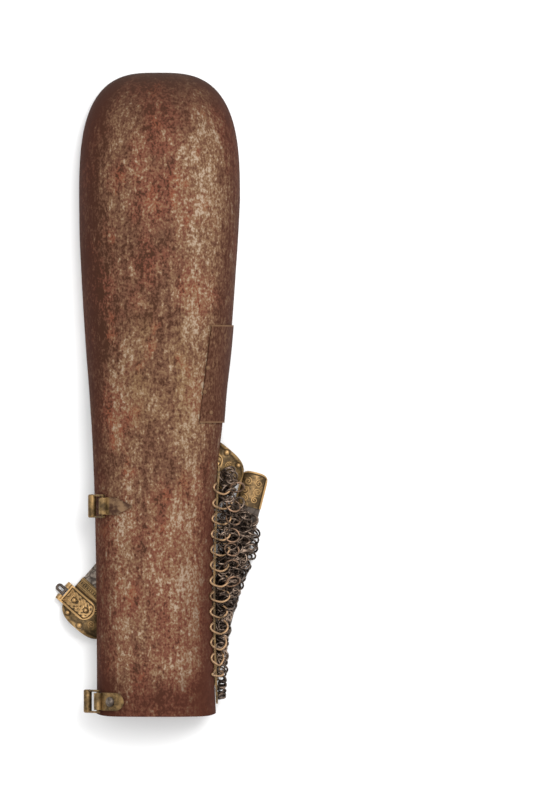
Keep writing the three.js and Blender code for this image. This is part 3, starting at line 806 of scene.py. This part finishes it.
class VAMBRACE_OT_repair_patch(bpy.types.Operator):
    """Lap the riveted repair over the right wall"""

    bl_idname = "vambrace.repair_patch"
    bl_label = "Repair Patch"

    def execute(self, context):
        def lapped(u, v, lift):
            along = lerp(PATCH_LOW, PATCH_HIGH, v)
            section = section_at(along)
            inner = lerp(PATCH_INNER_LOW, PATCH_INNER_HIGH, v)
            top = math.acos((inner / section[1]) ** (CROWN_POWER / 2))
            x, z = section_point(section, lerp(top, PATCH_FOOT, u), PATCH_GAP + lift)
            return Vector((x, along, z))

        bm = new_mesh()
        add_sheet(bm, *PATCH_GRID, lapped, 0, PATCH_THICK)
        for along, x in PATCH_RIVETS:
            add_dome(bm, PATCH_RIVET, PATCH_RIVET_TALL, on_plate(along, x, PATCH_GAP + PATCH_THICK))
        settle(bm, "repair_patch_rusted", [rusted_patch()], "repair_patch")
        return {"FINISHED"}


class VAMBRACE_OT_buckles(bpy.types.Operator):
    """Make both buckles: strap, knuckle and hinged frame"""

    bl_idname = "vambrace.buckles"
    bl_label = "Buckles"

    def execute(self, context):
        c = palette()
        brass = old_metal("buckle brass", c.brass, c.brass_dark)
        steel = old_metal("rivet iron", c.steel, c.steel_dark, low=0.4, high=0.75)
        bm = new_mesh()
        shoulder = UPPER["hinge"] - LEAF_SHOULDER
        self.strap(bm, UPPER, lambda w: lerp(shoulder, UPPER["tip"], (1 - abs(w)) ** LEAF_POWER))
        settle(bm, "upper_strap", [leaf_metal()], "upper_strap_leaf")
        bm = new_mesh()
        half = LOWER["width"] / 2
        self.strap(bm, LOWER, lambda w: LOWER["tip"] + half * (1 - math.sqrt(1 - TAB_ROUND * w * w)))
        settle(bm, "lower_strap", [brass], "lower_strap_tab")
        bm = new_mesh()
        add_dome(bm, TAB_HEAD, TAB_HEAD_TALL, on_plate(LOWER["along"], -TAB_RIVET_X, TAB_HEAD_SEAT))
        add_rod(bm, TAB_SHANK, TAB_SHANK_LONG, on_plate(LOWER["along"], -TAB_RIVET_X), 16, 0.1)
        settle(bm, "lower_strap_rivet", [steel], "lower_tab_rivet")
        for fit, name in ((UPPER, "upper_buckle_frame"), (LOWER, "lower_buckle_frame")):
            self.hinged_frame(fit, name, brass)
        return {"FINISHED"}

    def strap(self, bm, fit, end):
        """A thin strap on the plate, rolled round its hinge."""

        def lying(u, v, lift):
            w = 2 * v - 1
            x = -lerp(fit["hinge"] + STRAP_TUCK, end(w), u)
            y = fit["along"] + w * fit["width"] / 2
            return Vector((x, y, surface_z(fit["along"], x, STRAP_GAP + lift)))

        add_sheet(bm, *STRAP_GRID, lying, 0, STRAP_THICK)
        add_roll(bm, KNUCKLE, fit["knuckle"], Matrix.Translation(hinge_of(fit)) @ ALONG_Y)

    def hinged_frame(self, fit, name, brass):
        """A frame with a round outer bar, hanging from its pin."""
        turn = Matrix.Rotation(math.radians(-fit["hang"]), 4, "Y")
        hang = Matrix.Translation(hinge_of(fit)) @ turn
        bar = Matrix.Translation((-FRAME_LENGTH, 0, 0)) @ ALONG_Y
        bm = new_mesh()
        add_rod(bm, FRAME_PIN, FRAME_WIDTH - 1, hang @ ALONG_Y, 16, 0.1)
        add_rod(bm, FRAME_BAR, FRAME_WIDTH, hang @ bar, 28, BAR_SOFT)
        for side in BOTH_SIDES:
            rail = Matrix.Translation((0.5 - FRAME_LENGTH / 2, side * (FRAME_WIDTH - FRAME_RAIL) / 2, 0))
            add_block(bm, (FRAME_LENGTH + RAIL_SPARE, FRAME_RAIL, RAIL_TALL), hang @ rail, RAIL_SOFT)
        settle(bm, name + "_brass", [brass], name, body=name)


class VAMBRACE_OT_mail(bpy.types.Operator):
    """Hang the mail from its row of edge rings"""

    bl_idname = "vambrace.mail"
    bl_label = "Mail"

    def execute(self, context):
        c = palette()
        sizes = context.scene.vambrace_mail
        copper = old_metal("edge ring copper", c.copper, c.brass_dark, 0.6, 0.4, 140, 0.3, 0.55)
        brown = old_metal("joiner ring copper", c.joiner, c.mail_dark, 0.7, 0.36, 140, 0.36, 0.62)
        iron = old_metal("mail iron", c.mail, c.mail_dark, 0.85, 0.28, 150, 0.42, 0.68)
        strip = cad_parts["edge_strip"].data.materials
        strip.clear()
        strip.append(old_metal("edge strip brass", c.brass, c.brass_dark, 0.5, 0.5))
        bm = new_mesh()
        add_wires(bm, self.links(sizes), sizes.wire)
        add_wires(bm, self.joiners(sizes), sizes.wire * 1.05, finish=1)
        edge = [self.edge_ring(k) for k in range(RING_COUNT)]
        add_wires(bm, edge, sizes.edge_wire, sides=2, finish=2)
        settle(bm, "mail_rings", [iron, brown, copper], "mail", sharp=80)
        return {"FINISHED"}

    def edge_ring(self, k):
        """A bent ring through its hole, over the edge strip and back under the rim."""
        along = ring_along(k)
        right = section_at(along)[1]
        hole = edge_hole(k)
        stray = random.Random(k + 3)
        tall = lerp(*RING_TALL, ease((along - 25) / 35)) + stray.uniform(-0.1, 0.1) if k else END_RING_TALL
        out = lerp(*RING_OUT, ease((along - 18) / 50)) + stray.uniform(-0.9, 0.6)
        points = [hole + Vector(step) for step in RING_IN_HOLE]
        for x, share, y, z in RING_BENDS:
            points.append(Vector((right + x + out * share, along + y * tall, z)))
        return closed_curve(points, 3)

    def joiners(self, sizes):
        """Large rings that hang the mail from the edge rings."""
        stray = random.Random(5)
        paths = []
        for k in range(FIRST_JOINER, RING_COUNT):
            along = ring_along(k) - 0.5 + stray.uniform(-1, 1)
            right = section_at(along)[1]
            centre = Vector((right + JOINER_OUT + stray.uniform(-0.8, 0.8), along, JOINER_Z))
            lean = Matrix.Rotation(0.35 + stray.uniform(-0.2, 0.2), 3, "Y")
            lean = lean @ Matrix.Rotation(stray.uniform(-0.9, 0.9), 3, "X")
            paths.append(self.ring(centre, lean, sizes.ring * 1.1, stray.uniform(0.85, 1)))
        return paths

    def links(self, sizes):
        """Iron rings over the mail's field, in layers and in alternating tilt."""
        stray = random.Random(11)
        paths = []
        for layer, end in MAIL_LAYERS:
            row = round(layer * 2)
            along = MAIL_FROM + layer * sizes.pitch / 2
            while along < end:
                reach = table_at(MAIL_ROWS, along)[0]
                broad = ease((reach - 6) / 9)
                radius = sizes.ring * lerp(0.66, 1.0, broad)
                low = 1.8 + radius * 0.6
                high = max(low + 0.3, reach - radius * 0.8)
                count = max(1, round((high - low) / (sizes.pitch * 0.95)) + 1)
                for k in range(count):
                    share = (k + 0.5 + (0.2 if row % 2 else -0.2)) / count
                    across = lerp(low, high, share)
                    paths.append(self.link(sizes, stray, along, across, reach, radius, layer, row))
                along += sizes.pitch * lerp(0.8, 1.0, broad)
                row += 1
        return paths

    def link(self, sizes, stray, along, across, reach, radius, layer, row):
        """One ring of the field, leaning on its neighbours."""
        loose = sizes.disorder
        t = min(1.0, max(0.0, (across - MAIL_START) / (reach - MAIL_START)))
        centre = mail_point(along, t)
        centre.x = section_at(along)[1] + across + stray.uniform(-1.2, 1.2) * loose
        centre.y += stray.uniform(-2.4, 2.4) * loose
        centre.z -= layer * 2.0
        lean = math.radians(stray.uniform(15, 65) * (1 if row % 2 else -1))
        tilt = stray.uniform(-0.9, 0.9) * loose + 0.3
        turn = Matrix.Rotation(stray.uniform(-0.7, 0.7), 3, "Z")
        turn = turn @ Matrix.Rotation(tilt, 3, "Y") @ Matrix.Rotation(lean, 3, "X")
        return self.ring(centre, turn, radius * stray.uniform(0.85, 1.1), stray.uniform(0.75, 1.0))

    def ring(self, centre, turn, radius, squash):
        """One closed ring, kept clear of the floor."""
        points = []
        for k in range(LINK_POINTS):
            a = 2 * math.pi * k / LINK_POINTS
            points.append(turn @ Vector((radius * math.cos(a), radius * squash * math.sin(a), 0)))
        lift = max(0.0, LINK_LOWEST - min(p.z for p in points) - centre.z)
        return [centre + p + Vector((0, 0, lift)) for p in points]


class VAMBRACE_OT_wrist_plate(bpy.types.Operator):
    """Make the wrist plate with its mounts, clasps and loops"""

    bl_idname = "vambrace.wrist_plate"
    bl_label = "Wrist Plate"

    def execute(self, context):
        c = palette()
        brass = old_metal("mount brass", c.brass, c.brass_dark, 0.7, 0.4, 200)
        gilt = old_metal("clasp gilding", c.gilt, c.brass_dark, 0.7, 0.38, 220, 0.3, 0.55)
        wire = old_metal("loop wire", c.dark_steel_and_shade, c.steel_dark, 0.8, 0.35)
        local = plate_matrix(WRIST)
        bm = new_mesh()
        add_arched_plate(bm, WRIST, 28)
        steel = etched_steel("etched steel", c.steel)
        settle(bm, "wrist_plate_steel", [steel], "wrist_plate", local=local)
        hinge = Matrix.Translation((CLASP_HINGE_U, 0, CLASP_HINGE_Z))
        drop = Matrix.Rotation(math.radians(-LOOP_DROP), 4, "Y")
        for name, turn in ENDS:
            bm = new_mesh()
            self.mount(bm)
            part = "wrist_mount_" + name
            about = local @ Matrix.Rotation(turn, 4, "Z")
            settle(bm, part + "_brass", [brass, gilt], part, local=about)
            bm = new_mesh()
            self.clasp(bm)
            part = "clasp_" + name
            at = local @ Matrix.Translation((0, -CLASP_V if turn else CLASP_V, 0))
            settle(bm, part + "_gilt", [gilt], part, local=at)
            bm = new_mesh()
            self.loop(bm)
            part = "clasp_loop_" + name
            settle(bm, part + "_wire", [wire], part, body=part, local=at @ hinge @ drop)
        return {"FINISHED"}

    def mount(self, bm):
        """A brass end with two raised bands, beads between them, a lobe, rivets and scrolls."""
        base = WRIST["thick"] + MOUNT_GAP

        def formed(u, v, lift):
            across = lerp(-WRIST_MOUNT["half"], WRIST_MOUNT["half"], u)
            along = lerp(WRIST_MOUNT["from"], lobe_end(WRIST_MOUNT, across), v)
            bands = [(along - a, a + BAND_WIDE - along) for a in BAND_STARTS]
            band = max(ease((low + 0.1) / 0.3) * ease((high + 0.1) / 0.3) for low, high in bands)
            rim = ease((v - 0.9) / 0.05)
            bead = (1 - band) * ease((BAND_STARTS[1] - along) / 0.2) * math.sin(across * 4.2)
            line = 1 - ease(abs(along - BAND_STARTS[1] - BAND_WIDE - 0.8) / 0.6)
            near = min(math.hypot(across - a, along - b) - r for a, b, r in LOBE_RIVETS)
            line = max(line, 1 - ease((near - 0.2) / 0.6), (1 - rim) * ease((v - 0.86) / 0.04) * 0.35)
            thin = max(1 - ease(abs(abs(along - a - BAND_WIDE / 2) - 0.6) / 0.3) for a in BAND_STARTS)
            tone = lerp(lerp(-0.1, 0.7, max(band, rim * 0.35)), -1.1, max(line, thin * 0.7)) + bead * 0.8
            proud = band * BAND_PROUD + rim * 0.35 + bead * 0.15 - line * 0.15 - thin * 0.15 if lift else 0
            return Vector((across, along, arch_z(WRIST, across) + base + lift + proud)), tone

        add_sheet(bm, *MOUNT_GRID, formed, 0, WRIST_MOUNT["thick"])
        top = base + WRIST_MOUNT["thick"]
        for u, v, radius in LOBE_RIVETS:
            seat = Matrix.Translation((u, v, arch_z(WRIST, u) + top))
            add_dome(bm, radius, LOBE_RIVET_TALL, seat, 1, 0.6)
        plans = []
        for side in BOTH_SIDES:
            for u, v, radius in LOBE_SCROLLS:
                plans.append(scroll(side * u, v, radius, 1.6, math.pi / 2, side))
        add_scrolls(bm, plans, lambda u: arch_z(WRIST, u) + top + 0.1, 0.34, 1, 0.6)

    def clasp(self, bm):
        """A tongue with a raised border, two rivets and a rolled hinge."""
        half = CLASP_WIDE / 2
        base = WRIST["thick"] + MOUNT_GAP * 2 + WRIST_MOUNT["thick"]
        reach = CLASP_END - CLASP_HINGE_U

        def height(u):
            return arch_z(WRIST, max(u, -WRIST_MOUNT["half"])) + base

        def formed(u, v, lift):
            w = 2 * v - 1
            end = CLASP_END - half * (1 - math.sqrt(max(0.0, 1 - CLASP_ROUND * w * w)))
            across = lerp(CLASP_HINGE_U + 1.2, end, u)
            inside = min((1 - abs(w)) * half, (1 - u) * reach, u * reach) - CLASP_BORDER
            border = 1 - ease(inside / 0.3)
            groove = ease(inside / 0.25) * (1 - ease((inside - 0.5) / 0.4))
            near = min(math.hypot(across - r, w * half) for r in CLASP_RIVETS)
            groove = max(groove * 0.75, ease((near - 1.2) / 0.2) * (1 - ease((near - 1.6) / 0.3)))
            leaf = math.sin(across * 2.2 + abs(w) * 7) * math.sin(abs(w) * half * 1.7 + 0.6)
            leaf = leaf * (1 - border) * (1 - groove)
            proud = CLASP_PROUD * border - 0.3 * groove + 0.12 * leaf if lift else 0
            tone = border * 0.8 - groove * 1.3 + leaf * 0.7
            return Vector((across, w * half, height(across) + lift + proud)), tone

        add_sheet(bm, *CLASP_GRID, formed, 0, CLASP_THICK)
        for u in CLASP_RIVETS:
            seat = Matrix.Translation((u, 0, height(u) + CLASP_THICK))
            add_dome(bm, CLASP_RIVET, CLASP_RIVET_TALL, seat, 0, 0.6)
        plans = []
        for side in BOTH_SIDES:
            for u, radius, start in CLASP_SCROLLS:
                plans.append(scroll(u, side * CLASP_SCROLL_V, radius, 1.4, start, side))
        add_scrolls(bm, plans, lambda u: height(u) + CLASP_THICK + 0.05, 0.3, 0, 0.8)
        for side in BOTH_SIDES:
            seat = (CLASP_HINGE_U, side * (half - CLASP_KNUCKLE / 2), CLASP_HINGE_Z)
            add_roll(bm, CLASP_ROLL, CLASP_KNUCKLE, Matrix.Translation(seat) @ ALONG_Y)

    def loop(self, bm):
        """A wire bent round into a small loop on its pin."""
        half = LOOP_WIDE / 2 - LOOP_WIRE
        corner = LOOP_CORNER
        path = []
        for cx, cy, start in (
            (-LOOP_LENGTH + corner, half - corner, 90),
            (-LOOP_LENGTH + corner, corner - half, 180),
            (-corner / 2, corner - half, 270),
            (-corner / 2, half - corner, 0),
        ):
            size = corner if cx < -corner else corner / 2
            shift = 0 if cx < -corner else math.copysign(corner / 2, cy)
            for k in range(LOOP_BEND_STEPS):
                a = math.radians(start + 90 * k / (LOOP_BEND_STEPS - 1))
                path.append(Vector((cx + size * math.cos(a), cy + shift + size * math.sin(a), 0)))
        add_wires(bm, [path], LOOP_WIRE, sides=3)
        add_rod(bm, LOOP_PIN, LOOP_PIN_LONG, ALONG_Y, 16, 0.1)


class VAMBRACE_OT_side_plate(bpy.types.Operator):
    """Make the narrow side plate with its gilt ends"""

    bl_idname = "vambrace.side_plate"
    bl_label = "Side Plate"

    def execute(self, context):
        c = palette()
        ground = old_metal("side mount ground", c.gilt, c.brass_dark, 0.7, 0.42, 240)
        gilt = old_metal("side mount gilding", c.gilt, c.brass, 0.7, 0.36, 220, 0.3, 0.5)
        local = plate_matrix(SIDE)
        bm = new_mesh()
        add_arched_plate(bm, SIDE, 20)
        # Painted shade: the side plate under the mail gets a darker copy of the wrist plate's steel.
        steel = etched_steel("dark steel", c.dark_steel_and_shade)
        settle(bm, "side_plate_steel", [steel], "side_plate", local=local)
        for name, turn in ENDS:
            bm = new_mesh()
            self.mount(bm)
            part = "side_mount_" + name
            about = local @ Matrix.Rotation(turn, 4, "Z")
            settle(bm, part + "_gilt", [ground, gilt], part, local=about)
        return {"FINISHED"}

    def mount(self, bm):
        """A gilt end with a raised rim and scrolls."""
        base = SIDE["thick"] + MOUNT_GAP

        def formed(u, v, lift):
            across = lerp(-SIDE_MOUNT["half"], SIDE_MOUNT["half"], u)
            along = lerp(SIDE_MOUNT["from"], lobe_end(SIDE_MOUNT, across), v)
            inside = min((1 - abs(2 * u - 1)) * SIDE_MOUNT["half"], (1 - v) * 20)
            past = ease((inside - SIDE_RIM) / 0.3)
            rim = 1 - past
            groove = past * (1 - ease((inside - 1.5) / 0.4))
            proud = 0.4 * rim - 0.2 * groove if lift else 0
            tone = lerp(-0.2, 0.7, rim) - groove
            return Vector((across, along, arch_z(SIDE, across) + base + lift + proud)), tone

        add_sheet(bm, *SIDE_GRID, formed, 0, SIDE_MOUNT["thick"])
        top = base + SIDE_MOUNT["thick"]
        plans = []
        for side in BOTH_SIDES:
            for u, v, radius, hand in SIDE_SCROLLS:
                plans.append(scroll(side * u, v, radius, 1.5, hand * math.pi / 2, side * hand))
        add_scrolls(bm, plans, lambda u: arch_z(SIDE, u) + top + 0.1, 0.36, 1, 0.6)


class VAMBRACE_OT_stage(bpy.types.Operator):
    """Set the pale floor, the soft light and the camera"""

    bl_idname = "vambrace.stage"
    bl_label = "Stage"

    def execute(self, context):
        sizes = context.scene.vambrace_stage
        bm = bmesh.new()
        bmesh.ops.create_grid(bm, x_segments=1, y_segments=1, size=FLOOR_HALF)
        mesh = bpy.data.meshes.new("floor")
        bm.to_mesh(mesh)
        bm.free()
        mesh.materials.append(Finish("pale floor").done((*sizes.floor, 1), 0.9, 0.0))
        in_scene("floor", mesh)
        for name, place, size, share in LAMPS:
            self.lamp(name, place, size, sizes.key_power * share)
        world = context.scene.world or bpy.data.worlds.new("studio")
        context.scene.world = world
        world.use_nodes = True
        sky = world.node_tree.nodes["Background"].inputs
        sky["Color"].default_value = (1, 1, 1, 1)
        sky["Strength"].default_value = sizes.fill
        context.scene.view_settings.view_transform = "Standard"
        lens = bpy.data.cameras.new("camera")
        lens.sensor_width = SENSOR
        lens.lens = SENSOR * (sizes.camera_height - PICTURE_LEVEL) / sizes.frame_height
        camera = in_scene("camera", lens)
        camera.location = (*((Vector(sizes.centre) + LAYOUT.xy) * MM), sizes.camera_height)
        context.scene.camera = camera
        return {"FINISHED"}

    def lamp(self, name, place, size, power):
        """A soft square light aimed at the middle."""
        light = bpy.data.lights.new(name, "AREA")
        light.size = size
        light.energy = power
        lamp = in_scene(name, light)
        lamp.location = place
        lamp.rotation_euler = (-Vector(place)).to_track_quat("-Z", "Y").to_euler()


STEPS = (
    VAMBRACE_OT_forearm_plate,
    VAMBRACE_OT_repair_patch,
    VAMBRACE_OT_buckles,
    VAMBRACE_OT_mail,
    VAMBRACE_OT_wrist_plate,
    VAMBRACE_OT_side_plate,
    VAMBRACE_OT_stage,
)
GROUPS = {
    "vambrace_plate": PlateSizes,
    "vambrace_mail": MailSizes,
    "vambrace_colours": Colours,
    "vambrace_stage": StageSizes,
}


class VAMBRACE_PT_panel(bpy.types.Panel):
    """The vambrace's pieces and sizes in the sidebar"""

    bl_label = "Iron Vambrace"
    bl_space_type = "VIEW_3D"
    bl_region_type = "UI"
    bl_category = "Vambrace"

    def draw(self, context):
        for name in GROUPS:
            box = self.layout.box()
            group = getattr(context.scene, name)
            for key in group.__annotations__:
                box.prop(group, key)
        for step in STEPS:
            self.layout.operator(step.bl_idname)


def register():
    """Registers the classes and puts the sizes on the scene."""
    for cls in (*GROUPS.values(), *STEPS, VAMBRACE_PT_panel):
        bpy.utils.register_class(cls)
    for name, group in GROUPS.items():
        setattr(bpy.types.Scene, name, bpy.props.PointerProperty(type=group))


def unregister():
    """Takes the classes and sizes away again."""
    for name in GROUPS:
        delattr(bpy.types.Scene, name)
    for cls in reversed((*GROUPS.values(), *STEPS, VAMBRACE_PT_panel)):
        bpy.utils.unregister_class(cls)


def main():
    """Registers the sizes and builds every piece in order."""
    register()
    for step in STEPS:
        family, name = step.bl_idname.split(".")
        getattr(getattr(bpy.ops, family), name)()


if __name__ == "__main__":
    main()
